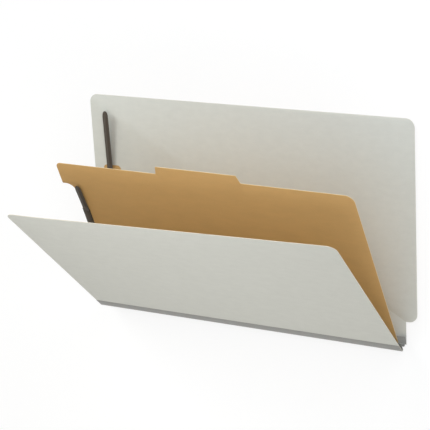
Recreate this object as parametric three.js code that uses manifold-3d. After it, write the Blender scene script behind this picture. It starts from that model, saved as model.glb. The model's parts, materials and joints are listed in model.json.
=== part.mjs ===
// Classification folder: two pressboard covers, a kraft divider and a folding tape gusset at the spine.
// Millimetres. X runs along the spine, Y from the spine to the free edges, Z up from the back cover.
// The folder lies on its back cover, with the divider and the front cover swung up.
// The origin is the middle of the back cover's outer face.
import * as THREE from "three";
import { mergeVertices } from "three/addons/utils/BufferGeometryUtils.js";
import Module from "manifold-3d";

const wasm = await Module();
wasm.setup();

// Covers
const boardThickness = 0.635;
const coverWidth = 374.65;
const backHeight = 244.5;
const frontHeight = 228.6;
const coverCorner = 9.5;

// End tab of the back cover
const endTabDepth = 12.7;
const endTabFoot = 25.4;
const endTabCorner = 9.5;

// Divider
const dividerThickness = 0.43;
const dividerHeight = 221;
const dividerRightInset = 5.95;
const dividerCorner = 9.5;
const earLeft = 20.2;
const earHeight = 29.7;
const earCorner = 6.5;
const earFootCorner = 0.8;
const notchFoot = 25.8;
const notchStart = 80;
const notchSlant = 4.6;
const notchRadius = 10;
const indexTabLeft = 147.5;
const indexTabWidth = 98.9;
const indexTabHeight = 10.3;
const indexTabSlope = 2.6;
const indexTabCorner = 1;

// Tape gusset: two pleats, each of two leaves, with their ridges inside the folder
const tapeThickness = 0.3;
const leafWidth = 9.5;
const foldWidth = 1.6;
const creaseGap = 0.3;
const creaseEdge = 0.04;
const creaseTaper = 1.6;
const spineClearance = 0.4;
const bindingStart = 0.85;
const bindingWidth = 3.2;

// Tape glued on the outside of each cover, round its lower edge
const edgeTapeWidth = 10.5;
const edgeTapeThickness = 0.2;
const layerGap = 0.1;
const hingeStart = 0.9;

// Fasteners
const slotSpacing = 69.85;
const backFastenerCentre = 122.25;
const backFastenerLeft = 20.6;
const frontFastenerCentre = frontHeight / 2;
const frontFastenerLeft = 13.2;
const dividerFastenerCentre = 118.5;
const metalThickness = 0.4;
const prongThickness = 0.5;
const prongWidth = 6.8;
const prongTip = 8;
const backProngLength = 70;
const frontProngLength = 63;
const dividerProngLength = 38.5;
const prongGap = 0.55;
const beadWidth = 2.2;
const beadHeight = 0.25;
const beadInset = 5;
const stemTopGap = 0.5;
const baseOverhang = 1.2;
const baseWidth = 7.6;
const coverPivotHeight = 1.5;
const dividerPivotHeight = 1.2;
const clampThickness = 0.35;
const clampOverhang = 0.4;
const prongFromEdge = 1.8;

// Kraft patch that bonds a fastener to a cover
const patchWidth = 22.4;
const backPatchShift = 2.3;
const patchHeight = 83;
const patchCorner = 4;
const patchThickness = 0.3;
const patchSlit = 1.2;

// Angles of the rest pose, in degrees from the back cover
const frontAngle = 45.5;
const dividerAngle = 27.5;
const pleatAngle = 12;
const prongAngle = {
  backUpper: 3, backLower: 2,
  frontUpper: 1.8, frontLower: 2,
  dividerUpper: 3, dividerLower: 3,
};

const colours = {
  pressboard: 0xcbcac3,
  kraft: 0xb98f54,
  tape: 0x8d8d8a,
  patch: 0xc09a60,
  coatedSteel: 0x4b443c,
};
const arcSteps = 8;

function material(colour, roughness, metalness) {
  return new THREE.MeshStandardMaterial({ color: colour, roughness, metalness });
}

const finish = {
  board: () => material(colours.pressboard, 0.85, 0),
  kraft: () => material(colours.kraft, 0.8, 0),
  tape: () => material(colours.tape, 0.7, 0),
  patch: () => material(colours.patch, 0.85, 0),
  steel: () => material(colours.coatedSteel, 0.45, 0.6),
};

// Booleans
function toSolid(geometry) {
  const bare = geometry.clone();
  bare.deleteAttribute("normal");
  bare.deleteAttribute("uv");
  const merged = mergeVertices(bare, 1e-4);
  const points = new wasm.Mesh({
    numProp: 3,
    vertProperties: new Float32Array(merged.attributes.position.array),
    triVerts: new Uint32Array(merged.index.array),
  });
  return new wasm.Manifold(points);
}

function toGeometry(solid) {
  const mesh = solid.getMesh();
  const geometry = new THREE.BufferGeometry();
  geometry.setAttribute("position", new THREE.BufferAttribute(mesh.vertProperties, 3));
  geometry.setIndex(new THREE.BufferAttribute(mesh.triVerts, 1));
  geometry.computeVertexNormals();
  return geometry;
}

// A flat outline whose corners are rounded by arcs. Each point is [x, y, radius].
function roundedOutline(points) {
  const shape = new THREE.Shape();
  const count = points.length;
  points.forEach(([x, y, radius = 0], i) => {
    const here = new THREE.Vector2(x, y);
    const [px, py] = points[(i + count - 1) % count];
    const [nx, ny] = points[(i + 1) % count];
    const back = new THREE.Vector2(px, py).sub(here).normalize();
    const ahead = new THREE.Vector2(nx, ny).sub(here).normalize();
    const half = back.angleTo(ahead) / 2;
    const reach = radius / Math.tan(half);
    const start = here.clone().addScaledVector(back, reach);
    if (i === 0) shape.moveTo(start.x, start.y);
    else shape.lineTo(start.x, start.y);
    if (radius === 0) return;
    const middle = back.clone().add(ahead).normalize().multiplyScalar(radius / Math.sin(half)).add(here);
    const end = here.clone().addScaledVector(ahead, reach);
    const from = Math.atan2(start.y - middle.y, start.x - middle.x);
    const to = Math.atan2(end.y - middle.y, end.x - middle.x);
    const clockwise = back.cross(ahead) > 0;
    shape.absarc(middle.x, middle.y, radius, from, to, clockwise);
  });
  shape.closePath();
  return shape;
}

// A sheet: an outline in the panel's plane, raised from z to z plus its thickness.
function sheet(shape, thickness, z = 0) {
  const geometry = new THREE.ExtrudeGeometry(shape, {
    depth: thickness, bevelEnabled: false, curveSegments: arcSteps,
  });
  return geometry.translate(0, 0, z);
}

// A strip along the spine: a section in the Y-Z plane, extruded along X.
function strip(section, length) {
  const shape = new THREE.Shape(section.map(([y, z]) => new THREE.Vector2(y, z)));
  const geometry = new THREE.ExtrudeGeometry(shape, { depth: length, bevelEnabled: false });
  const turn = new THREE.Matrix4().makeBasis(
    new THREE.Vector3(0, 1, 0), new THREE.Vector3(0, 0, 1), new THREE.Vector3(1, 0, 0));
  return geometry.applyMatrix4(turn);
}

function box(width, length, height, x, y, z) {
  return new THREE.BoxGeometry(width, length, height).translate(x, y, z);
}

function mesh(name, geometry, surface) {
  const piece = new THREE.Mesh(geometry, surface);
  piece.name = name;
  return piece;
}

// A frame square to the spine, at y and z, turned about the spine by an angle in degrees.
function frameAt([y, z], angle) {
  const frame = new THREE.Group();
  frame.position.set(0, y, z);
  frame.rotation.x = THREE.MathUtils.degToRad(angle);
  return frame;
}

function stepFrom([y, z], angle, distance) {
  const turn = THREE.MathUtils.degToRad(angle);
  return [y + distance * Math.cos(turn), z + distance * Math.sin(turn)];
}

// Covers
function backCover() {
  const right = coverWidth + endTabDepth;
  const outline = roundedOutline([
    [0, 0], [coverWidth, 0], [coverWidth, endTabFoot],
    [right, endTabFoot, endTabCorner], [right, backHeight, coverCorner], [0, backHeight, coverCorner],
  ]);
  const rebate = box(2 * right, 2 * edgeTapeWidth, 2 * edgeTapeThickness, 0, 0, 0);
  const board = toSolid(sheet(outline, boardThickness)).subtract(toSolid(rebate));
  return mesh("back_cover", toGeometry(board), finish.board());
}

function frontCover() {
  const outline = roundedOutline([
    [0, hingeStart], [coverWidth, hingeStart],
    [coverWidth, frontHeight, coverCorner], [0, frontHeight, coverCorner],
  ]);
  return mesh("front_cover", sheet(outline, boardThickness, -boardThickness / 2), finish.board());
}

// Divider, with the ear above its fastener notch and the index tab on its free edge
const dividerRight = coverWidth - dividerRightInset;
const slant = THREE.MathUtils.degToRad(notchSlant);
const dividerFoot = bindingWidth + creaseGap;

// The notched edge leans towards the index tab; this gives its x at a height above the spine.
function notchEdge(height) {
  return notchFoot + (height - notchStart) * Math.tan(slant);
}

function divider() {
  const tabRight = indexTabLeft + indexTabWidth;
  const tabTop = dividerHeight + indexTabHeight;
  const earFoot = dividerHeight - earHeight;
  const earTopLeft = earLeft + earHeight * Math.tan(slant);
  const outline = roundedOutline([
    [notchFoot, dividerFoot], [dividerRight, dividerFoot], [dividerRight, dividerHeight, dividerCorner],
    [tabRight, dividerHeight], [tabRight - indexTabSlope, tabTop, indexTabCorner],
    [indexTabLeft + indexTabSlope, tabTop, indexTabCorner], [indexTabLeft, dividerHeight],
    [earTopLeft, dividerHeight, earCorner], [earLeft, earFoot, earFootCorner],
    [notchEdge(earFoot), earFoot, notchRadius], [notchFoot, notchStart],
  ]);
  return mesh("divider", sheet(outline, dividerThickness, -dividerThickness / 2), finish.kraft());
}

// Gusset leaf from one crease to the next, thinned towards both creases
function leaf(name) {
  const thick = tapeThickness / 2;
  const thin = creaseEdge / 2;
  const near = creaseGap;
  const far = leafWidth - creaseGap;
  const section = [
    [near, -thin], [creaseTaper, -thick], [leafWidth - creaseTaper, -thick], [far, -thin],
    [far, thin], [leafWidth - creaseTaper, thick], [creaseTaper, thick], [near, thin],
  ];
  return mesh(name, strip(section, coverWidth), finish.tape());
}

// Narrow fold of tape between two creases
function foldStrip(name, from, to) {
  const thick = tapeThickness / 2;
  const section = [[from, -thick], [to, -thick], [to, thick], [from, thick]];
  return mesh(name, strip(section, coverWidth), finish.tape());
}

// Tape glued round a cover's lower edge: a flange on the outer face, given by its z, and a web over the edge.
// On the back cover it is pressed flush into the board, so that the folder lies flat.
function edgeTape(name, edgeY, faceZ, outward, reachZ, gap) {
  const near = faceZ + outward * gap;
  const far = near + outward * edgeTapeThickness;
  const web = edgeY - gap;
  const end = edgeY + edgeTapeWidth;
  const section = [
    [end, near], [end, far], [web - edgeTapeThickness, far], [web - edgeTapeThickness, reachZ],
    [web, reachZ], [web, near],
  ];
  if (outward > 0) section.reverse();
  return mesh(name, strip(section.reverse(), coverWidth), finish.tape());
}

// Prong: a flat strip with a pointed round tip and a pressed bead, lying along +Y from its pivot
function prongGeometry(length) {
  const half = prongWidth / 2;
  const shape = new THREE.Shape();
  shape.moveTo(-half, prongGap);
  shape.lineTo(half, prongGap);
  shape.lineTo(half, length - prongTip);
  shape.quadraticCurveTo(half, length, 0, length);
  shape.quadraticCurveTo(-half, length, -half, length - prongTip);
  shape.closePath();
  const blade = sheet(shape, prongThickness, -prongThickness / 2);
  const beadLength = length - prongTip - beadInset;
  const bead = strip([
    [-beadWidth / 2, 0], [beadWidth / 2, 0],
    [beadWidth / 4, prongThickness / 2 + beadHeight], [-beadWidth / 4, prongThickness / 2 + beadHeight],
  ], beadLength);
  bead.rotateZ(Math.PI / 2).translate(0, beadInset, 0);
  return toGeometry(toSolid(blade).add(toSolid(bead)));
}

// Both prongs of one side of a fastener, in a frame with +Z away from the sheet
function prongPair(names, length, pivotHeight, upperAngle, lowerAngle) {
  const pair = new THREE.Group();
  [[names[0], 0, upperAngle], [names[1], Math.PI, lowerAngle]].forEach(([name, turn, lift]) => {
    const side = new THREE.Group();
    side.rotation.z = turn;
    const pivot = new THREE.Group();
    pivot.position.set(0, slotSpacing / 2, pivotHeight);
    pivot.rotation.x = THREE.MathUtils.degToRad(lift);
    pivot.add(mesh(name, prongGeometry(length), finish.steel()));
    side.add(pivot);
    pair.add(side);
  });
  return pair;
}

// Upturned ends of a fastener's base, which the prongs are bent from
function stems(sheetZ, pivotHeight, side = 1) {
  const foot = side * sheetZ;
  const top = side * (pivotHeight - stemTopGap);
  return [-1, 1].map((end) => box(prongWidth, metalThickness, Math.abs(top - foot),
    0, end * slotSpacing / 2, (top + foot) / 2));
}

// Fastener bonded inside a cover: base strip, patch over it and two prongs, in a frame on the inner face
function coverFastener(prefix, length, upperAngle, lowerAngle, patchShift = 0) {
  const fastener = new THREE.Group();
  const baseLength = slotSpacing + 2 * baseOverhang;
  let base = toSolid(box(baseWidth, baseLength, metalThickness, 0, 0, layerGap + metalThickness / 2));
  stems(layerGap + metalThickness / 2, coverPivotHeight).forEach((stem) => {
    base = base.add(toSolid(stem));
  });
  fastener.add(mesh(`${prefix}_fastener_base`, toGeometry(base), finish.steel()));
  fastener.add(mesh(`${prefix}_fastener_patch`, patchGeometry(baseLength, patchShift), finish.patch()));
  const names = [`${prefix}_upper_prong`, `${prefix}_lower_prong`];
  fastener.add(prongPair(names, length, coverPivotHeight, upperAngle, lowerAngle));
  return fastener;
}

// Patch: a thin sheet that rises over the base strip, with a slit for each prong
function patchGeometry(baseLength, shift) {
  const x = patchWidth / 2;
  const y = patchHeight / 2;
  const outline = roundedOutline([
    [shift - x, -y, patchCorner], [shift + x, -y, patchCorner],
    [shift + x, y, patchCorner], [shift - x, y, patchCorner],
  ]);
  const roof = layerGap + metalThickness + layerGap;
  const reachX = baseWidth + 2 * layerGap;
  const reachY = baseLength + 2 * layerGap;
  const raised = roof + patchThickness;
  let patch = toSolid(sheet(outline, patchThickness, layerGap));
  const hump = box(reachX + 2 * patchThickness, reachY + 2 * patchThickness, raised - layerGap,
    0, 0, (raised + layerGap) / 2);
  const hollow = box(reachX, reachY, roof, 0, 0, roof / 2);
  patch = patch.add(toSolid(hump)).subtract(toSolid(hollow));
  [-1, 1].forEach((end) => {
    const slit = box(prongWidth + 2 * layerGap, patchSlit, 4 * raised, 0, end * slotSpacing / 2, 0);
    patch = patch.subtract(toSolid(slit));
  });
  return toGeometry(patch);
}

// Twin fastener of the divider: a channel clamped over the notched edge, with prongs on both faces
function dividerFastener() {
  const fastener = new THREE.Group();
  const inner = dividerThickness / 2 + layerGap;
  const outer = inner + clampThickness;
  const web = -prongWidth / 2 - prongFromEdge - layerGap;
  const left = web - clampThickness;
  const right = prongWidth / 2 + clampOverhang;
  const clampLength = slotSpacing + 2 * baseOverhang;
  const section = [
    [left, -outer], [right, -outer], [right, -inner], [web, -inner],
    [web, inner], [right, inner], [right, outer], [left, outer],
  ];
  const channel = new THREE.ExtrudeGeometry(
    new THREE.Shape(section.map(([x, z]) => new THREE.Vector2(x, z))),
    { depth: clampLength, bevelEnabled: false });
  channel.rotateX(Math.PI / 2).translate(0, clampLength / 2, 0);
  let base = toSolid(channel);
  const face = dividerThickness / 2 + dividerPivotHeight;
  [-1, 1].forEach((side) => stems(inner + clampThickness / 2, face, side).forEach((stem) => {
    base = base.add(toSolid(stem));
  }));
  fastener.add(mesh("divider_fastener_base", toGeometry(base), finish.steel()));
  [["front", 0], ["rear", Math.PI]].forEach(([side, turn]) => {
    const names = [`divider_${side}_upper_prong`, `divider_${side}_lower_prong`];
    const pair = prongPair(names, dividerProngLength, face, prongAngle.dividerUpper, prongAngle.dividerLower);
    pair.rotation.y = turn;
    fastener.add(pair);
  });
  return fastener;
}

// Places of the creases, as [y, z] from the back cover's lower edge
const pleatDepth = 2 * leafWidth * Math.sin(THREE.MathUtils.degToRad(pleatAngle));
const frontPleatAngle = (frontAngle + dividerAngle) / 2;
const rearFoot = [0, boardThickness + spineClearance];
const centreRear = stepFrom(rearFoot, 90, pleatDepth);
const centre = stepFrom(centreRear, 90, foldWidth / 2);
const centreFront = stepFrom(centre, dividerAngle + 90, foldWidth / 2);
const frontRear = stepFrom(centreFront, frontPleatAngle + 90, pleatDepth);
const frontFoot = stepFrom(frontRear, frontPleatAngle + 90, foldWidth);

function folder() {
  const object = new THREE.Group();
  object.position.set(-(coverWidth + endTabDepth) / 2, -backHeight / 2, 0);

  const back = frameAt([0, 0], 0);
  back.add(backCover());
  back.add(edgeTape("back_edge_tape", 0, edgeTapeThickness, -1, boardThickness, 0));
  const backFastener = coverFastener(
    "back", backProngLength, prongAngle.backUpper, prongAngle.backLower, backPatchShift);
  backFastener.position.set(backFastenerLeft, backFastenerCentre, boardThickness);
  back.add(backFastener);
  object.add(back);

  const rearOuter = frameAt(rearFoot, pleatAngle);
  rearOuter.add(leaf("rear_pleat_outer_leaf"));
  const rearInner = frameAt(centreRear, -pleatAngle);
  rearInner.add(leaf("rear_pleat_inner_leaf"));
  const centreFold = frameAt(centreRear, 90);
  centreFold.add(foldStrip("centre_fold", creaseGap, foldWidth - creaseGap));
  object.add(rearOuter, rearInner, centreFold);

  const dividerFrame = frameAt(centre, dividerAngle);
  dividerFrame.add(foldStrip("divider_binding", bindingStart, bindingWidth));
  dividerFrame.add(divider());
  const twin = dividerFastener();
  const fromEdge = (prongFromEdge + prongWidth / 2) / Math.cos(slant);
  twin.position.set(notchEdge(dividerFastenerCentre) + fromEdge, dividerFastenerCentre, 0);
  twin.rotation.z = -slant;
  dividerFrame.add(twin);
  object.add(dividerFrame);

  const frontInner = frameAt(centreFront, frontPleatAngle + pleatAngle);
  frontInner.add(leaf("front_pleat_inner_leaf"));
  const frontOuter = frameAt(frontRear, frontPleatAngle - pleatAngle);
  frontOuter.add(leaf("front_pleat_outer_leaf"));
  const frontFold = frameAt(frontRear, frontPleatAngle + 90);
  frontFold.add(foldStrip("front_fold", creaseGap, foldWidth - creaseGap));
  object.add(frontInner, frontOuter, frontFold);

  const front = frameAt(frontFoot, frontAngle);
  front.add(frontCover());
  const face = boardThickness / 2;
  front.add(edgeTape("front_edge_tape", hingeStart, face, 1, -face, layerGap));
  const frontFastener = coverFastener("front", frontProngLength, prongAngle.frontUpper, prongAngle.frontLower);
  frontFastener.position.set(frontFastenerLeft, frontFastenerCentre, -face);
  frontFastener.rotation.y = Math.PI;
  front.add(frontFastener);
  object.add(front);
  return object;
}

const whole = new THREE.Group();
whole.add(folder());
export default whole;
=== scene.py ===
"""A classification folder: pressboard covers, kraft divider, tape gusset and prong fasteners."""

import json
import math

import bmesh
import bpy
from bpy.props import FloatProperty, FloatVectorProperty, PointerProperty
from mathutils import Matrix, Vector


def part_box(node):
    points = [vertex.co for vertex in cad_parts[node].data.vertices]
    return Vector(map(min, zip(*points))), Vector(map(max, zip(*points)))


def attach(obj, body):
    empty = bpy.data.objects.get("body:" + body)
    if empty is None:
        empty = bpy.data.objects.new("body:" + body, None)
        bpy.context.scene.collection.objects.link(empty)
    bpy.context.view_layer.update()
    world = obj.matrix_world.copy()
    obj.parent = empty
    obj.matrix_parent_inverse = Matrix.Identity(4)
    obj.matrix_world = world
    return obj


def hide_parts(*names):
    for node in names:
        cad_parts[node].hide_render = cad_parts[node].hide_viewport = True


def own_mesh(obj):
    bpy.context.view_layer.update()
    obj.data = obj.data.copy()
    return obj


bl_info = {
    "name": "Classification Folder",
    "version": (1, 0, 0),
    "blender": (4, 5, 0),
    "location": "View3D > Sidebar > Folder",
    "description": "Dresses the solid model of a classification folder",
    "category": "Object",
}

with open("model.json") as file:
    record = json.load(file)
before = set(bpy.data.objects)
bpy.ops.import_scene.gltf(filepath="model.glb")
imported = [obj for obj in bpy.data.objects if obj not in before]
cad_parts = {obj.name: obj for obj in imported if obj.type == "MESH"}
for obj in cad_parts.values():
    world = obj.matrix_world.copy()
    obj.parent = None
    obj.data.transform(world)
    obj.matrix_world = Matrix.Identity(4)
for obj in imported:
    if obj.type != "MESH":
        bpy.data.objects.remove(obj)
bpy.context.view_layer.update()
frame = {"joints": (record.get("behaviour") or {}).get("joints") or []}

MM = 0.001
crease = {joint["name"]: Vector(joint["pos_m"]) for joint in frame["joints"] if "pos_m" in joint}
back_low, back_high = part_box("back_cover")
spine_left, spine_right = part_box("front_cover")[0].x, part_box("front_cover")[1].x
spine_length = spine_right - spine_left

# Fixed sizes, in millimetres
END_TAB_FOOT = 25.4     # from the back cover's lower edge to the end tab
COVER_FOOT = 0.9        # from the crease to the front cover's lower edge
DIVIDER_FOOT = 3.5      # from the crease to the divider's lower edge
SMALL_CORNER = 0.8      # radius of the divider's small corners
EDGE_TAPE = 0.2         # thickness of the edge tapes with their glue, and depth of the back cover's rebate
REBATE_STEP = 0.02      # width of the step at the end of the rebate
BASE_HALF_WIDTH = 3.8   # of the steel strip under a patch
BASE_OVERHANG = 1.2     # of a fastener's base beyond its bend lines
STEM_HALF_WIDTH = 3.4   # of the upturned ends that the prongs are bent from
STEM_HALF_DEPTH = 0.22
SLIT_HALF_WIDTH = 3.5   # of the slits in a patch
SLIT_HALF_DEPTH = 0.5

FASTENERS = {
    # name: (body it is fixed to, face, height of the bend line over that face in millimetres)
    "back": ("back_cover", 1, 1.5),
    "front": ("front_cover", -1, 1.5),
    "divider_front": ("divider", 1, 1.2),
    "divider_rear": ("divider", -1, 1.2),
}


def linear(hex_colour):
    """An sRGB hex colour as linear red, green and blue."""
    channels = [int(hex_colour[i:i + 2], 16) / 255 for i in (1, 3, 5)]
    return tuple(c / 12.92 if c <= 0.04045 else ((c + 0.055) / 1.055) ** 2.4 for c in channels)


def length(name, description, default):
    """A size that a user may change, in metres."""
    return FloatProperty(name=name, description=description, default=default, min=0, unit="LENGTH",
                         precision=5)


def angle(name, description, degrees):
    """An angle that a user may change, given in degrees and kept in radians."""
    return FloatProperty(name=name, description=description, default=math.radians(degrees), unit="ROTATION")


def colour(name, description, hex_colour):
    """A colour that a user may change, given as sRGB hex."""
    return FloatVectorProperty(name=name, description=description, default=linear(hex_colour),
                               size=3, min=0, max=1, subtype="COLOR")


class FolderSizes(bpy.types.PropertyGroup):
    """Sizes of the folder's boards, tape and metal."""
    board_thickness: length("Board", "Thickness of the pressboard", back_high.z - back_low.z)
    front_height: length("Front cover", "Height of the front cover above the spine", 228.6 * MM)
    corner: length("Corner", "Corner radius of the covers and the divider", 9.5 * MM)
    divider_thickness: length("Divider", "Thickness of the kraft divider", 0.43 * MM)
    divider_height: length("Divider height", "Height of the divider above the spine", 221 * MM)
    divider_inset: length("Divider inset", "From the covers' right end to the divider's", 5.95 * MM)
    ear_left: length("Ear", "From the covers' left end to the ear's lower corner", 20.2 * MM)
    ear_height: length("Ear height", "Height of the ear above the notch", 29.7 * MM)
    ear_corner: length("Ear corner", "Corner radius of the ear", 6.5 * MM)
    notch_foot: length("Notch foot", "From the covers' left end to the foot of the notched edge", 25.8 * MM)
    notch_start: length("Notch start", "Height above the spine at which the notched edge slants", 80 * MM)
    notch_radius: length("Notch radius", "Radius between the notched edge and the ear", 10 * MM)
    notch_slant: angle("Notch slant", "Lean of the notched edge towards the index tab", 4.6)
    index_tab_left: length("Index tab", "From the covers' left end to the index tab", 147.5 * MM)
    index_tab_width: length("Index tab width", "Width of the index tab at its foot", 98.9 * MM)
    index_tab_height: length("Index tab height", "Height of the index tab above the divider", 10.3 * MM)
    index_tab_slope: length("Index tab slope", "How far each side of the index tab leans in", 2.6 * MM)
    tape_thickness: length("Tape", "Thickness of the gusset tape", 0.3 * MM)
    leaf_width: length("Gusset leaf", "Width of a gusset leaf from crease to crease", 9.5 * MM)
    fold_width: length("Fold", "Width of the narrow fold between two pleats", 1.6 * MM)
    edge_tape_width: length("Edge tape", "Width of the tape on the outside of a cover", 12.2 * MM)
    prong_width: length("Prong", "Width of a fastener prong", 7 * MM)
    prong_tip: length("Prong tip", "Length of a prong's tapered tip", 8 * MM)
    prong_lean: angle("Prong lean", "How far the back cover's upper prong is bent towards the end tab", 1)
    prong_thickness: length("Prong thickness", "Thickness of a fastener prong", 0.5 * MM)
    back_prong: length("Back prong", "Length of a prong on the back cover", 70 * MM)
    front_prong: length("Front prong", "Length of a prong on the front cover", 63 * MM)
    divider_prong: length("Divider prong", "Length of a prong on the divider", 38.5 * MM)
    slot_spacing: length("Slot spacing", "Distance between the two prongs of a fastener", 69.85 * MM)
    front_angle: angle("Front cover angle", "Front cover's angle above the back cover", 45.5)
    divider_angle: angle("Divider angle", "Divider's angle above the back cover", 27.5)
    pleat_angle: angle("Pleat angle", "Each gusset leaf's angle from the middle of its pleat", 12)
    front_twist: angle("Front cover twist", "How far the front cover's right end hangs lower", -2.17)
    divider_twist: angle("Divider twist", "How far the divider's right end stands higher", 0.9)


class InMillimetres:
    """Reads the folder's lengths in millimetres."""

    def __init__(self, sizes):
        self.sizes = sizes

    def __getattr__(self, name):
        return getattr(self.sizes, name) / MM


class FolderColours(bpy.types.PropertyGroup):
    """Colours of the folder's materials."""
    pressboard: colour("Pressboard", "Face of the covers", "#c9cac3")
    pressboard_edge: colour("Pressboard edge", "Cut edge of the covers", "#d2cab8")
    kraft: colour("Kraft", "Face of the divider", "#d1a567")
    kraft_edge: colour("Kraft edge", "Cut edge of the divider", "#e2cda4")
    tape: colour("Tape", "Gusset and edge tape", "#8d8d8a")
    patch: colour("Patch", "Kraft patch over a fastener", "#c09a60")
    lacquer: colour("Lacquer", "Baked lacquer on the steel", "#473f36")


# Places

def from_crease(joint, turn):
    """A sheet's frame: X along the spine from the covers' left end, Y up the sheet, Z off its upper face."""
    place = crease[joint]
    return Matrix.Translation((spine_left, place.y, place.z)) @ Matrix.Rotation(turn, 4, "X")


def back_frame():
    """The back cover's frame: X and Y from its lower left corner, Z up from its underside."""
    return Matrix.Translation((back_low.x, back_low.y, 0))


def sheet_turn(rise, face, end, slant=0.0):
    """Turns a frame to a sheet's upper (1) or lower (-1) face, with Y to its upper (1) or lower (-1) end."""
    turn = Matrix.Rotation(rise, 4, "X") @ Matrix.Rotation(-slant, 4, "Z")
    if face < 0:
        turn = turn @ Matrix.Rotation(math.pi, 4, "Y")
    if end < 0:
        turn = turn @ Matrix.Rotation(math.pi, 4, "Z")
    return turn


def prong_frame(joint, turn, lift):
    """The frame of a prong: its bend line along X, its blade along Y, Z away from the sheet."""
    return Matrix.Translation(crease[joint]) @ turn @ Matrix.Rotation(lift, 4, "X")


def fastener_middle(name, size):
    """The frame on a cover's inner face, midway between its fastener's two bend lines."""
    _, face, height = FASTENERS[name]
    turn = sheet_turn(size.front_angle if name == "front" else 0, face, 1)
    between = (crease[f"{name}_upper_prong_bend"] + crease[f"{name}_lower_prong_bend"]) / 2
    return Matrix.Translation(between) @ turn @ Matrix.Translation((0, 0, -height * MM))


# Shapes

def sheet(outline, thickness, cuts_x=(), cuts_y=()):
    """A flat sheet cut to an outline of (x, y, corner radius) in millimetres, with its underside at z 0."""
    bm = bmesh.new()
    corners = [bm.verts.new((x * MM, y * MM, 0)) for x, y, _ in outline]
    bm.faces.new(corners)
    count = len(outline)
    for i, (x, y, radius) in enumerate(outline):
        if radius:
            here = Vector((x, y))
            before = Vector(outline[i - 1][:2]) - here
            after = Vector(outline[(i + 1) % count][:2]) - here
            reach = radius / math.tan(before.angle(after) / 2)
            bmesh.ops.bevel(bm, geom=[corners[i]], offset=reach * MM, offset_type="OFFSET", segments=10,
                            profile=0.5, affect="VERTICES", material=-1)
    cut_along(bm, cuts_x)
    cut_along(bm, cuts_y, Vector((0, 1, 0)))
    bmesh.ops.recalc_face_normals(bm, faces=bm.faces[:])
    if sum(f.normal.z for f in bm.faces) < 0:
        bmesh.ops.reverse_faces(bm, faces=bm.faces[:])
    if thickness:
        thicken(bm, thickness)
    return bm


def cut_along(bm, places, normal=Vector((1, 0, 0))):
    """Cuts the faces of a mesh at places in millimetres along a direction."""
    for place in places:
        everything = bm.verts[:] + bm.edges[:] + bm.faces[:]
        bmesh.ops.bisect_plane(bm, geom=everything, plane_co=normal * place * MM, plane_no=normal, dist=1e-7)


def every(step, first, last):
    """Places for cuts, at a step in millimetres, between two ends."""
    count = max(1, round((last - first) / step))
    return [first + (last - first) * i / count for i in range(1, count)]


def thicken(bm, thickness):
    """Gives an open sheet its thickness and stands it on z 0."""
    bmesh.ops.solidify(bm, geom=bm.faces[:], thickness=thickness)
    bmesh.ops.recalc_face_normals(bm, faces=bm.faces[:])
    lowest = min(v.co.z for v in bm.verts)
    bmesh.ops.translate(bm, vec=(0, 0, -lowest), verts=bm.verts[:])


def mark_rim(bm):
    """Gives the cut edges of a flat sheet its second material."""
    bm.normal_update()
    for face in bm.faces:
        if abs(face.normal.z) < 0.5:
            face.material_index = 1


def soften(bm, offset, segments=2, sharper_than=50):
    """Rounds every edge sharper than an angle in degrees."""
    bm.normal_update()
    sharp = [e for e in bm.edges if e.is_manifold and e.calc_face_angle() > math.radians(sharper_than)]
    bmesh.ops.bevel(bm, geom=sharp, offset=offset, offset_type="OFFSET", segments=segments, profile=0.5,
                    affect="EDGES", clamp_overlap=True, material=-1)


def twist(bm, turn, start=30 * MM):
    """Turns a sheet about its foot by an angle that grows from a start to its right end."""
    for v in bm.verts:
        share = max(0.0, (v.co.x - start) / (spine_length - start))
        v.co.rotate(Matrix.Rotation(turn * share, 3, "X"))


def press_flat(piece, turn):
    """Gives a sheet its own copy of its mesh; its twist stays as it is."""
    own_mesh(piece)


def run(section, span, axis="X"):
    """A bar with a section of (across, up) points in millimetres, extruded along X or Y from 0 to a span."""
    bm = bmesh.new()
    if axis == "X":
        points = [bm.verts.new((0, a * MM, b * MM)) for a, b in section]
        along = Vector((span, 0, 0))
    else:
        points = [bm.verts.new((a * MM, 0, b * MM)) for a, b in section]
        along = Vector((0, span, 0))
    start = bm.faces.new(points)
    made = bmesh.ops.extrude_face_region(bm, geom=[start], use_keep_orig=True)["geom"]
    bmesh.ops.translate(bm, vec=along, verts=[v for v in made if isinstance(v, bmesh.types.BMVert)])
    bmesh.ops.recalc_face_normals(bm, faces=bm.faces[:])
    return bm


def block(bm, low, high):
    """Adds a box between two corners in millimetres."""
    low, high = Vector(low) * MM, Vector(high) * MM
    made = bmesh.ops.create_cube(bm, size=1)["verts"]
    bmesh.ops.scale(bm, vec=high - low, verts=made)
    bmesh.ops.translate(bm, vec=(low + high) / 2, verts=made)


def rounded_run(stations, span):
    """A tape strip along the spine. Each station is (y, half thickness, height) in millimetres."""
    upper = [(y, h + t) for y, t, h in stations]
    lower = [(y, h - t) for y, t, h in reversed(stations)]
    return run(upper + lower, span)


def round_end(y, radius, inward, steps=4):
    """Stations that round a strip's end off to a radius; inward is 1 where the strip goes on to larger y."""
    stations = []
    for i in range(steps):
        turn = math.pi / 2 * (i + 0.25) / steps
        stations.append((y + inward * radius * (1 - math.cos(turn)), radius * math.sin(turn), 0.0))
    return stations if inward > 0 else stations[::-1]


def ease(value):
    """Runs smoothly from 0 to 1 as a value does, and stays at either end beyond."""
    value = min(max(value, 0.0), 1.0)
    return value * value * (3 - 2 * value)


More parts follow.
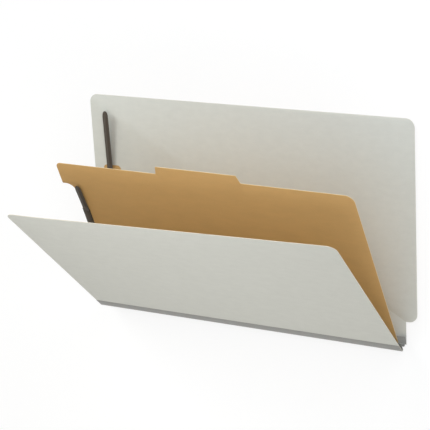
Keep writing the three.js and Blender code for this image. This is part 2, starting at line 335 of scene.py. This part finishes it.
def put(name, bm, place, body, stands_for, slot):
    """Makes a finished piece of a mesh: places it in the folder's frame and fixes it to its body."""
    bmesh.ops.transform(bm, matrix=place, verts=bm.verts[:])
    bm.normal_update()
    for face in bm.faces:
        face.smooth = True
    for edge in bm.edges:
        edge.smooth = edge.is_manifold and edge.calc_face_angle() < math.radians(35)
    mesh = bpy.data.meshes.new(name)
    bm.to_mesh(mesh)
    bm.free()
    for surface in FINISHES[slot]:
        mesh.materials.append(surface())
    piece = bpy.data.objects.new(name, mesh)
    bpy.context.scene.collection.objects.link(piece)
    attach(piece, body)
    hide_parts(*stands_for)
    return piece


# Materials

def add_node(tree, kind, inputs=None, **settings):
    """Adds a node, sets it, and sets or links its inputs."""
    made = tree.nodes.new(kind)
    for key, value in settings.items():
        setattr(made, key, value)
    for key, value in (inputs or {}).items():
        if isinstance(value, bpy.types.NodeSocket):
            tree.links.new(value, made.inputs[key])
        else:
            made.inputs[key].default_value = value
    return made


def shade(base, factor):
    """A colour made lighter or darker by a factor, as an opaque socket value."""
    return tuple(min(1.0, c * factor) for c in base) + (1.0,)


def new_material(name, base, roughness, **sockets):
    """A material with its shader's plain sockets set, and the tree and shader to pattern it with."""
    surface = bpy.data.materials.new(name)
    surface.use_nodes = True
    tree = surface.node_tree
    shader = tree.nodes["Principled BSDF"]
    shader.inputs["Base Color"].default_value = shade(base, 1)
    shader.inputs["Roughness"].default_value = roughness
    for key, value in sockets.items():
        shader.inputs[key.replace("_", " ")].default_value = value
    surface.diffuse_color = shade(base, 1)
    return surface, tree, shader


def fibre_surface(name, base, roughness, clump, fibre, contrast, relief, stretch=(1, 1, 1)):
    """Pressed or spun fibre: soft clumps of tone under fine fibres, with the sizes of both in metres."""
    surface, tree, shader = new_material(name, base, roughness)
    place = add_node(tree, "ShaderNodeTexCoord").outputs["Object"]
    place = add_node(tree, "ShaderNodeMapping", {"Vector": place, "Scale": stretch}).outputs["Vector"]
    clumps = add_node(tree, "ShaderNodeTexNoise",
                      {"Vector": place, "Scale": 1 / clump, "Detail": 4.0, "Roughness": 0.6})
    fibres = add_node(tree, "ShaderNodeTexNoise",
                      {"Vector": place, "Scale": 1 / fibre, "Detail": 3.0, "Roughness": 0.7,
                       "Distortion": 0.6})
    both = add_node(tree, "ShaderNodeMath",
                    {0: clumps.outputs["Fac"], 1: fibres.outputs["Fac"]}, operation="ADD")
    tone = add_node(tree, "ShaderNodeMapRange",
                    {"Value": both.outputs["Value"], "From Min": 0.7, "From Max": 1.3})
    mixed = add_node(tree, "ShaderNodeMix", {"Factor": tone.outputs["Result"],
                                             "A": shade(base, 1 - contrast), "B": shade(base, 1 + contrast)},
                     data_type="RGBA")
    tree.links.new(mixed.outputs["Result"], shader.inputs["Base Color"])
    bump = add_node(tree, "ShaderNodeBump",
                    {"Height": fibres.outputs["Fac"], "Distance": relief, "Strength": 0.5})
    tree.links.new(bump.outputs["Normal"], shader.inputs["Normal"])
    return surface


def kept(name, make):
    """A material that several pieces share, made the first time it is asked for."""
    return bpy.data.materials.get(name) or make(name)


def colours():
    """The folder's colours, as the user has set them."""
    return bpy.context.scene.folder_colours


def calendered_pressboard():
    # Rolled hard and smooth: a dull even face with faint clumps of fibre, 6 mm by 12 mm along the spine.
    return kept("Pressboard, calendered", lambda name: fibre_surface(
        name, colours().pressboard, 0.62, 6 * MM, 0.5 * MM, 0.034, 0.03 * MM, stretch=(0.5, 1, 1)))


def cut_pressboard():
    # Die cut: paler and rougher than the face, because the dye is thinner inside the board.
    return kept("Pressboard, cut edge", lambda name: fibre_surface(
        name, colours().pressboard_edge, 0.9, 2 * MM, 0.3 * MM, 0.05, 0.02 * MM))


def kraft_tag():
    # Machine-finished brown paper: warm, dull, with clumps along the machine direction.
    return kept("Kraft tag, machine finished", lambda name: fibre_surface(
        name, colours().kraft, 0.7, 9 * MM, 0.6 * MM, 0.045, 0.03 * MM, stretch=(0.4, 1, 1)))


def cut_kraft():
    # Die cut: lighter than the face, where the fibres stand open.
    return kept("Kraft tag, cut edge", lambda name: fibre_surface(
        name, colours().kraft_edge, 0.9, 2 * MM, 0.3 * MM, 0.05, 0.02 * MM))


def spun_tape():
    # Spun-bonded polyethylene fibre sheet: grey, with long pale fibres and a slight sheen.
    return kept("Gusset tape, spun bonded", lambda name: fibre_surface(
        name, colours().tape, 0.55, 3 * MM, 0.5 * MM, 0.09, 0.04 * MM, stretch=(0.35, 1, 1)))


def gummed_kraft():
    # Gummed kraft patch, pressed down wet: dull and slightly uneven.
    return kept("Kraft patch, gummed", lambda name: fibre_surface(
        name, colours().patch, 0.75, 5 * MM, 0.6 * MM, 0.06, 0.04 * MM))


def lacquered_steel():
    # Thin strip steel with a baked dark lacquer: satin, with soft highlights on the pressed rib.
    def make(name):
        surface, tree, shader = new_material(name, colours().lacquer, 0.42, Specular_IOR_Level=0.35)
        place = add_node(tree, "ShaderNodeTexCoord").outputs["Object"]
        grain = add_node(tree, "ShaderNodeTexNoise",
                         {"Vector": place, "Scale": 1 / (0.8 * MM), "Detail": 3.0})
        rough = add_node(tree, "ShaderNodeMapRange",
                         {"Value": grain.outputs["Fac"], "To Min": 0.36, "To Max": 0.5})
        tree.links.new(rough.outputs["Result"], shader.inputs["Roughness"])
        return surface
    return kept("Steel strip, baked lacquer", make)


FINISHES = {
    # the record's slot: the materials of the faces and, on a cut sheet, of its rim
    "pressboard": (calendered_pressboard, cut_pressboard),
    "divider_kraft": (kraft_tag, cut_kraft),
    "gusset_tape": (spun_tape,),
    "patch_kraft": (gummed_kraft,),
    "coated_steel": (lacquered_steel,),
}


# Pieces

class FolderPart:
    """What the operators share: the folder's sizes, as they are kept and in millimetres."""
    bl_options = {"REGISTER", "UNDO"}

    @property
    def sizes(self):
        return bpy.context.scene.folder_sizes

    @property
    def millimetres(self):
        return InMillimetres(self.sizes)


class FOLDER_OT_back_cover(FolderPart, bpy.types.Operator):
    """Back cover: pressboard with an end tab, round corners and a shallow rebate for the edge tape"""
    bl_idname = "folder.back_cover"
    bl_label = "Back Cover"

    def execute(self, context):
        size, mm = self.sizes, self.millimetres
        right = (back_high.x - back_low.x) / MM
        top = (back_high.y - back_low.y) / MM
        width, tape = spine_length / MM, mm.edge_tape_width
        outline = [(0, 0, 0), (width, 0, 0), (width, END_TAB_FOOT, 0.6), (right, END_TAB_FOOT, mm.corner),
                   (right, top, mm.corner), (0, top, mm.corner)]
        bm = sheet(outline, size.board_thickness, cuts_y=(tape, tape + REBATE_STEP))
        mark_rim(bm)
        soften(bm, 0.12 * MM)
        for v in bm.verts:
            if v.co.z < size.board_thickness / 2 and v.co.y < (tape + REBATE_STEP / 2) * MM:
                v.co.z += EDGE_TAPE * MM
        put("back_cover_board", bm, back_frame(), "back_cover", ["back_cover"], "pressboard")
        return {"FINISHED"}


class FOLDER_OT_front_cover(FolderPart, bpy.types.Operator):
    """Front cover: pressboard with round free corners, hinged on the gusset"""
    bl_idname = "folder.front_cover"
    bl_label = "Front Cover"

    def execute(self, context):
        size, mm = self.sizes, self.millimetres
        width, top = spine_length / MM, mm.front_height
        outline = [(0, COVER_FOOT, 0), (width, COVER_FOOT, 0), (width, top, mm.corner), (0, top, mm.corner)]
        bm = sheet(outline, size.board_thickness, every(20, 0, width), every(25, 0, top))
        mark_rim(bm)
        soften(bm, 0.12 * MM)
        bmesh.ops.translate(bm, vec=(0, 0, -size.board_thickness / 2), verts=bm.verts[:])
        twist(bm, size.front_twist)
        board = put("front_cover_board", bm, from_crease("cover_turn", size.front_angle), "front_cover",
                    ["front_cover"], "pressboard")
        press_flat(board, size.front_angle)
        return {"FINISHED"}


class FOLDER_OT_divider(FolderPart, bpy.types.Operator):
    """Divider: kraft tag with an index tab, and an ear above the notch for its fastener"""
    bl_idname = "folder.divider"
    bl_label = "Divider"

    def execute(self, context):
        size, mm = self.sizes, self.millimetres
        right, foot, top = spine_length / MM - mm.divider_inset, DIVIDER_FOOT, mm.divider_height
        lean = math.tan(size.notch_slant)
        ear_foot = top - mm.ear_height
        notch_top = mm.notch_foot + (ear_foot - mm.notch_start) * lean
        tab_right, tab_top = mm.index_tab_left + mm.index_tab_width, top + mm.index_tab_height
        outline = [
            (mm.notch_foot, foot, 0),
            (right, foot, 0),
            (right, top, mm.corner),
            (tab_right, top, SMALL_CORNER),
            (tab_right - mm.index_tab_slope, tab_top, 1),
            (mm.index_tab_left + mm.index_tab_slope, tab_top, 1),
            (mm.index_tab_left, top, SMALL_CORNER),
            (mm.ear_left + mm.ear_height * lean, top, mm.ear_corner),
            (mm.ear_left, ear_foot, SMALL_CORNER),
            (notch_top, ear_foot, mm.notch_radius),
            (mm.notch_foot, mm.notch_start, 0),
        ]
        bm = sheet(outline, size.divider_thickness, every(20, 0, right), every(25, 0, top))
        mark_rim(bm)
        soften(bm, 0.08 * MM)
        bmesh.ops.translate(bm, vec=(0, 0, -size.divider_thickness / 2), verts=bm.verts[:])
        twist(bm, size.divider_twist)
        divider = put("divider_sheet", bm, from_crease("divider_fan", size.divider_angle), "divider",
                      ["divider"], "divider_kraft")
        press_flat(divider, size.divider_angle)
        return {"FINISHED"}


class FOLDER_OT_gusset(FolderPart, bpy.types.Operator):
    """Gusset: two tape pleats of two leaves, the narrow folds between them and the divider's binding"""
    bl_idname = "folder.gusset"
    bl_label = "Gusset"

    def execute(self, context):
        size, mm = self.sizes, self.millimetres
        half, leaf, fold = mm.tape_thickness / 2, mm.leaf_width, mm.fold_width
        bow = 0.12
        ridge = 0.28
        pieces = 8
        middle = (size.front_angle + size.divider_angle) / 2
        leaves = {
            "rear_pleat_outer_leaf": ("rear_outer_leaf_turn", size.pleat_angle, -1),
            "rear_pleat_inner_leaf": ("rear_inner_leaf_turn", -size.pleat_angle, 1),
            "front_pleat_inner_leaf": ("front_inner_leaf_turn", middle + size.pleat_angle, -1),
            "front_pleat_outer_leaf": ("front_outer_leaf_turn", middle - size.pleat_angle, 1),
        }
        for name, (joint, turn, side) in leaves.items():
            # A leaf bows out of its pleat a little, and is thicker where it folds back at the ridge.
            stations = round_end(0, half, 1)
            for i in range(1, pieces):
                share = i / pieces
                stations.append((leaf * share, half, side * bow * math.sin(math.pi * share)))
            stations += [(leaf - 0.9, half, side * 0.04)] + round_end(leaf + ridge * 0.6, ridge, -1)
            self.strip(name, stations, joint, turn)
        # The centre fold is a little short, to stay clear of the front pleat.
        for name, joint, turn, short in (
                ("centre_fold", "rear_inner_leaf_turn", math.radians(90), 0.3),
                ("front_fold", "front_outer_leaf_turn", middle + math.radians(90), 0)):
            level = round_end(0, half, 1) + [(fold / 2, half, 0)] + round_end(fold - short, half, -1)
            self.strip(name, level, joint, turn)
        # The binding is thicker where it holds the divider.
        swell = half + 0.1
        binding = round_end(-0.1, half, 1) + [(0.9, half, 0), (1.3, swell, 0)] + round_end(3.4, swell, -1)
        self.strip("divider_binding", binding, "divider_fan", size.divider_angle)
        return {"FINISHED"}

    def strip(self, name, stations, joint, turn):
        """A strip of tape along the whole spine, from a crease."""
        put(name + "_tape", rounded_run(stations, spine_length), from_crease(joint, turn), name, [name],
            "gusset_tape")


class FOLDER_OT_edge_tapes(FolderPart, bpy.types.Operator):
    """Edge tapes: tape glued on the outside of each cover and folded round its lower edge"""
    bl_idname = "folder.edge_tapes"
    bl_label = "Edge Tapes"

    def execute(self, context):
        size, mm = self.sizes, self.millimetres
        width = mm.edge_tape_width
        # The back tape lies in its rebate, goes round the cover's edge and stops just below the first leaf.
        top = crease["rear_outer_leaf_turn"].z / MM - 0.11
        section = [(width, 0), (width, EDGE_TAPE), (0, EDGE_TAPE), (0, top),
                   (-EDGE_TAPE, top), (-EDGE_TAPE, 0)]
        bm = run(section, spine_length)
        soften(bm, 0.06 * MM)
        put("back_edge_tape_strip", bm, back_frame(), "back_cover", ["back_edge_tape"], "gusset_tape")
        # The front tape lies on the cover's outer face and ends in a tongue round the crease.
        face, tongue = mm.board_thickness / 2, 0.15
        section = [
            (COVER_FOOT + width, face + 0.02),
            (COVER_FOOT + width, face + EDGE_TAPE),
            (0.55, face + EDGE_TAPE),
            (0.4, face),
            (0.4, tongue),
            (0, tongue),
            (-0.12, 0),
            (0, -tongue),
            (0.8, -tongue),
            (0.8, face + 0.02),
        ]
        bm = run(section, spine_length)
        cut_along(bm, every(20, 0, spine_length / MM))
        soften(bm, 0.05 * MM)
        twist(bm, size.front_twist)
        strip = put("front_edge_tape_strip", bm, from_crease("cover_turn", size.front_angle), "front_cover",
                    ["front_edge_tape"], "gusset_tape")
        press_flat(strip, size.front_angle)
        return {"FINISHED"}


class FOLDER_OT_fastener_bases(FolderPart, bpy.types.Operator):
    """Fastener bases: the steel strips under the patches and the channel clamped on the divider"""
    bl_idname = "folder.fastener_bases"
    bl_label = "Fastener Bases"

    def execute(self, context):
        size, mm = self.sizes, self.millimetres
        half = mm.slot_spacing / 2
        reach = half + BASE_OVERHANG
        for name in ("back", "front"):
            body, _, bend = FASTENERS[name]
            bm = bmesh.new()
            block(bm, (-BASE_HALF_WIDTH, -reach, 0.1), (BASE_HALF_WIDTH, reach, 0.5))
            self.stems(bm, half, 0.3, bend)
            soften(bm, 0.12 * MM)
            put(f"{name}_fastener_strip", bm, fastener_middle(name, size), body, [f"{name}_fastener_base"],
                "coated_steel")
        # The channel's web stands clear of the divider's edge, and its two legs lie along both faces.
        inner = mm.divider_thickness / 2 + 0.1
        outer, web, right = inner + 0.35, -5.25, 3.5
        back = web - 0.25
        section = [(back, -outer), (right, -outer), (right, -inner), (web, -inner),
                   (web, inner), (right, inner), (right, outer), (back, outer)]
        bm = run(section, 2 * reach * MM, axis="Y")
        bmesh.ops.translate(bm, vec=(0, -reach * MM, 0), verts=bm.verts[:])
        body, _, bend = FASTENERS["divider_front"]
        stem_top = mm.divider_thickness / 2 + bend
        self.stems(bm, half, inner + 0.15, stem_top)
        self.stems(bm, half, -inner - 0.15, -stem_top)
        soften(bm, 0.12 * MM)
        between = (crease["divider_front_upper_prong_bend"] + crease["divider_front_lower_prong_bend"]
                   + crease["divider_rear_upper_prong_bend"] + crease["divider_rear_lower_prong_bend"]) / 4
        place = Matrix.Translation(between) @ sheet_turn(size.divider_angle, 1, 1, size.notch_slant)
        put("divider_fastener_channel", bm, place, body, ["divider_fastener_base"], "coated_steel")
        return {"FINISHED"}

    @staticmethod
    def stems(bm, half, low, bend):
        """The two upturned ends that the prongs are bent from, up to just over the bend line."""
        top = bend + math.copysign(STEM_HALF_DEPTH, bend)
        for end in (-half, half):
            block(bm, (-STEM_HALF_WIDTH, end - STEM_HALF_DEPTH, min(low, top)),
                  (STEM_HALF_WIDTH, end + STEM_HALF_DEPTH, max(low, top)))


class FOLDER_OT_patches(FolderPart, bpy.types.Operator):
    """Patches: gummed kraft pressed down over each fastener base, with a slit for each prong"""
    bl_idname = "folder.patches"
    bl_label = "Patches"

    def execute(self, context):
        half = self.millimetres.slot_spacing / 2
        for name, shift in (("back", 2.3), ("front", 0)):
            put(f"{name}_fastener_cover_patch", self.patch(half, shift), fastener_middle(name, self.sizes),
                FASTENERS[name][0], [f"{name}_fastener_patch"], "patch_kraft")
        return {"FINISHED"}

    @staticmethod
    def patch(half, shift):
        """A patch moved along X by a shift. It rises over the steel strip and is open at its two slits."""
        half_width, half_length, corner, rise, slope = 11.2, 41.5, 4, 0.45, 1.6
        base_end = half + BASE_OVERHANG
        sides = [s * (BASE_HALF_WIDTH + d) for s in (-1, 1) for d in (-0.1, 0.2, 0.5, 0.9, 1.4, 2.0)]
        ends = [s * (base_end + d) for s in (-1, 1) for d in (0.1, 0.4, 0.8, 1.3, 1.9)]
        slits = [s * half + d for s in (-1, 1) for d in (-SLIT_HALF_DEPTH, SLIT_HALF_DEPTH)]
        left, right = shift - half_width, shift + half_width
        outline = [(left, -half_length, corner), (right, -half_length, corner),
                   (right, half_length, corner), (left, half_length, corner)]
        bm = sheet(outline, 0, cuts_x=sides + [-SLIT_HALF_WIDTH, SLIT_HALF_WIDTH], cuts_y=ends + slits)
        for v in bm.verts:
            over_x = ease(1 - (abs(v.co.x) / MM - BASE_HALF_WIDTH) / slope)
            over_y = ease(1 - (abs(v.co.y) / MM - base_end) / slope)
            v.co.z = rise * MM * over_x * over_y
        open_faces = [f for f in bm.faces if abs(f.calc_center_median().x) < SLIT_HALF_WIDTH * MM
                      and abs(abs(f.calc_center_median().y) - half * MM) < SLIT_HALF_DEPTH * MM]
        bmesh.ops.delete(bm, geom=open_faces, context="FACES")
        thicken(bm, 0.25 * MM)
        bmesh.ops.translate(bm, vec=(0, 0, 0.05 * MM), verts=bm.verts[:])
        soften(bm, 0.05 * MM, segments=1)
        return bm


class FOLDER_OT_prongs(FolderPart, bpy.types.Operator):
    """Prongs: eight steel blades with a pressed rib and a pointed round tip, lying along the sheets"""
    bl_idname = "folder.prongs"
    bl_label = "Prongs"

    def execute(self, context):
        size = self.sizes
        on_divider = (size.divider_prong, size.divider_angle, size.notch_slant, (3, 3))
        blades = {
            # fastener: (length, rise and slant of its sheet, lift of the upper and lower prong in degrees)
            "back": (size.back_prong, 0, 0, (3, 2)),
            "front": (size.front_prong, size.front_angle, 0, (1.8, 2)),
            "divider_front": on_divider,
            "divider_rear": on_divider,
        }
        for name, (_, face, _) in FASTENERS.items():
            span, rise, slant, lifts = blades[name]
            for end, word, lift in zip((1, -1), ("upper", "lower"), lifts):
                node = f"{name}_{word}_prong"
                place = prong_frame(node + "_bend", sheet_turn(rise, face, end, slant), math.radians(lift))
                if node == "back_upper_prong":
                    place = place @ Matrix.Rotation(-size.prong_lean, 4, "Z")
                put(node + "_blade", self.blade(span), place, node, [node], "coated_steel")
        return {"FINISHED"}

    def blade(self, span):
        """A blade along Y from its bend line, with a pressed rib that fades out before both ends."""
        size = self.sizes
        rib_half, rib_slope, rib_height = 1.9 * MM, 1.3 * MM, 0.5 * MM
        bm = bmesh.new()
        bmesh.ops.create_grid(bm, x_segments=16, y_segments=40, size=0.5)
        for v in bm.verts:
            along = span * math.sin((v.co.y + 0.5) * math.pi / 2)
            left = min(1.0, (span - along) / size.prong_tip)
            half = size.prong_width / 2 * (2 * math.sqrt(max(left, 0.0)) - left)
            across = 2 * v.co.x * max(half, 0.2 * MM)
            rib = ease((rib_half - abs(across)) / rib_slope)
            ends = ease((along - 3 * MM) / (4 * MM)) * ease((span - 2 * MM - along) / (6 * MM))
            v.co = (across, along, rib_height * rib * ends)
        bmesh.ops.recalc_face_normals(bm, faces=bm.faces[:])
        bmesh.ops.solidify(bm, geom=bm.faces[:], thickness=size.prong_thickness)
        bmesh.ops.recalc_face_normals(bm, faces=bm.faces[:])
        lowest = min(v.co.z for v in bm.verts)
        bmesh.ops.translate(bm, vec=(0, 0, -lowest - size.prong_thickness / 2), verts=bm.verts[:])
        soften(bm, 0.1 * MM)
        return bm


# Stage

class FOLDER_OT_stage(FolderPart, bpy.types.Operator):
    """Stage: a white floor, soft studio light and the camera"""
    bl_idname = "folder.stage"
    bl_label = "Stage"

    def execute(self, context):
        self.floor()
        self.world()
        warmer, warm, plain, cool = (1.03, 1, 0.94), (0.99, 1, 0.97), (1, 1, 1), (0.93, 1, 1.08)
        # name, place, width and depth in metres, power in watts, tint
        self.lamp("Key", (-1.6, 1.0, 1.05), 0.7, 0.7, 10.8, warm)
        self.lamp("Left", (-1.8, 1.8, 0.7), 1.2, 1.2, 47, warm)
        self.lamp("Right", (0.6, 0.4, 0.8), 0.6, 0.6, 2.3, cool)
        self.lamp("Back", (0.6, 0.9, 0.6), 0.6, 0.6, 4.4, cool)
        self.lamp("Front", (0, -0.7, 0.7), 1.6, 0.5, 4.95, warmer)
        self.lamp("Above", (-0.05, -0.02, 0.5), 0.5, 0.3, 0.62, plain)
        self.lamp("Edge", (0.8, -0.05, 0.15), 0.3, 0.3, 0.85, plain)
        self.camera()
        return {"FINISHED"}

    @staticmethod
    def seen_directly(tree):
        """1 for camera, glossy and transmission rays, so that metal shows the same background."""
        rays = add_node(tree, "ShaderNodeLightPath")
        seen = add_node(tree, "ShaderNodeMath", {0: rays.outputs["Is Camera Ray"],
                                                 1: rays.outputs["Is Glossy Ray"]}, operation="MAXIMUM")
        return add_node(tree, "ShaderNodeMath", {0: seen.outputs["Value"],
                                                 1: rays.outputs["Is Transmission Ray"]},
                        operation="MAXIMUM").outputs["Value"]

    def floor(self):
        """The floor: white to the eye, painted for the light, with the folder's shadow on it."""
        bm = bmesh.new()
        bmesh.ops.create_grid(bm, x_segments=1, y_segments=1, size=6)
        bmesh.ops.translate(bm, vec=(0, 0, -0.3 * MM), verts=bm.verts[:])
        mesh = bpy.data.meshes.new("floor")
        bm.to_mesh(mesh)
        bm.free()
        floor = bpy.data.objects.new("floor", mesh)
        bpy.context.scene.collection.objects.link(floor)
        surface = bpy.data.materials.new("Studio floor, white paint")
        surface.use_nodes = True
        tree = surface.node_tree
        tree.nodes.clear()
        paint = add_node(tree, "ShaderNodeBsdfDiffuse", {"Color": (0.8, 0.8, 0.8, 1)})
        bright = add_node(tree, "ShaderNodeBsdfDiffuse", {"Color": (1, 1, 1, 1)})
        white = add_node(tree, "ShaderNodeEmission", {"Color": (1, 1, 1, 1), "Strength": 1.0})
        # Plain white further out, where the lamps no longer reach. The distances are in metres.
        place = add_node(tree, "ShaderNodeTexCoord").outputs["Object"]
        away = add_node(tree, "ShaderNodeVectorMath", {0: place}, operation="LENGTH")
        share = add_node(tree, "ShaderNodeMapRange",
                         {"Value": away.outputs["Value"], "From Min": 0.35, "From Max": 1.1,
                          "To Min": 0.75, "To Max": 1.0}, interpolation_type="SMOOTHSTEP")
        pale = add_node(tree, "ShaderNodeMixShader", {"Fac": share.outputs["Result"],
                                                      1: bright.outputs["BSDF"],
                                                      2: white.outputs["Emission"]})
        both = add_node(tree, "ShaderNodeMixShader", {"Fac": self.seen_directly(tree),
                                                      1: paint.outputs["BSDF"],
                                                      2: pale.outputs["Shader"]})
        add_node(tree, "ShaderNodeOutputMaterial", {"Surface": both.outputs["Shader"]})
        mesh.materials.append(surface)

    def world(self):
        """A faint even light from all round, behind a white background."""
        world = bpy.data.worlds.new("Studio")
        bpy.context.scene.world = world
        world.use_nodes = True
        tree = world.node_tree
        tree.nodes.clear()
        soft = add_node(tree, "ShaderNodeBackground", {"Color": (1, 1, 1, 1), "Strength": 0.12})
        white = add_node(tree, "ShaderNodeBackground", {"Color": (1, 1, 1, 1), "Strength": 1.0})
        both = add_node(tree, "ShaderNodeMixShader", {"Fac": self.seen_directly(tree),
                                                      1: soft.outputs["Background"],
                                                      2: white.outputs["Background"]})
        add_node(tree, "ShaderNodeOutputWorld", {"Surface": both.outputs["Shader"]})

    @staticmethod
    def lamp(name, place, width, depth, power, tint):
        """A soft rectangular lamp that points at the middle of the folder."""
        light = bpy.data.lights.new(name, "AREA")
        light.shape = "RECTANGLE"
        light.size, light.size_y = width, depth
        light.energy = power
        light.color = tint
        lamp = bpy.data.objects.new(name, light)
        bpy.context.scene.collection.objects.link(lamp)
        lamp.location = place
        lamp.rotation_euler = (Vector((0, 0, 0.04)) - Vector(place)).to_track_quat("-Z", "Y").to_euler()

    @staticmethod
    def camera():
        """The photograph's camera, solved from the corners of the covers and the divider."""
        data = bpy.data.cameras.new("Camera")
        data.sensor_width = 36
        data.lens = 128.823
        data.clip_start, data.clip_end = 0.05, 30
        camera = bpy.data.objects.new("Camera", data)
        bpy.context.scene.collection.objects.link(camera)
        right = Vector((0.8736395, -0.05371623, -0.48359961))
        up = Vector((-0.10291665, 0.95100126, -0.29155575))
        turn = Matrix((right, up, right.cross(up))).transposed().to_4x4()
        camera.matrix_world = Matrix.Translation((0.75893147, 0.50868292, 1.38938405)) @ turn
        bpy.context.scene.camera = camera


class FOLDER_PT_panel(bpy.types.Panel):
    """Lists the folder's pieces, sizes and colours"""
    bl_idname = "FOLDER_PT_panel"
    bl_label = "Classification Folder"
    bl_space_type = "VIEW_3D"
    bl_region_type = "UI"
    bl_category = "Folder"

    def draw(self, context):
        for maker in makers:
            self.layout.operator(maker.bl_idname)
        for group in (context.scene.folder_sizes, context.scene.folder_colours):
            box = self.layout.box()
            for name in group.__annotations__:
                box.prop(group, name)


makers = (FOLDER_OT_back_cover, FOLDER_OT_front_cover, FOLDER_OT_divider, FOLDER_OT_gusset,
          FOLDER_OT_edge_tapes, FOLDER_OT_fastener_bases, FOLDER_OT_patches, FOLDER_OT_prongs,
          FOLDER_OT_stage)
classes = (FolderSizes, FolderColours, *makers, FOLDER_PT_panel)


def register():
    for cls in classes:
        bpy.utils.register_class(cls)
    bpy.types.Scene.folder_sizes = PointerProperty(type=FolderSizes)
    bpy.types.Scene.folder_colours = PointerProperty(type=FolderColours)


def unregister():
    del bpy.types.Scene.folder_colours
    del bpy.types.Scene.folder_sizes
    for cls in reversed(classes):
        bpy.utils.unregister_class(cls)


def main():
    """Makes the folder and its stage."""
    register()
    bpy.ops.folder.back_cover()
    bpy.ops.folder.front_cover()
    bpy.ops.folder.divider()
    bpy.ops.folder.gusset()
    bpy.ops.folder.edge_tapes()
    bpy.ops.folder.fastener_bases()
    bpy.ops.folder.patches()
    bpy.ops.folder.prongs()
    bpy.ops.folder.stage()
    bpy.context.scene.view_settings.view_transform = "Standard"


if __name__ == "__main__":
    main()
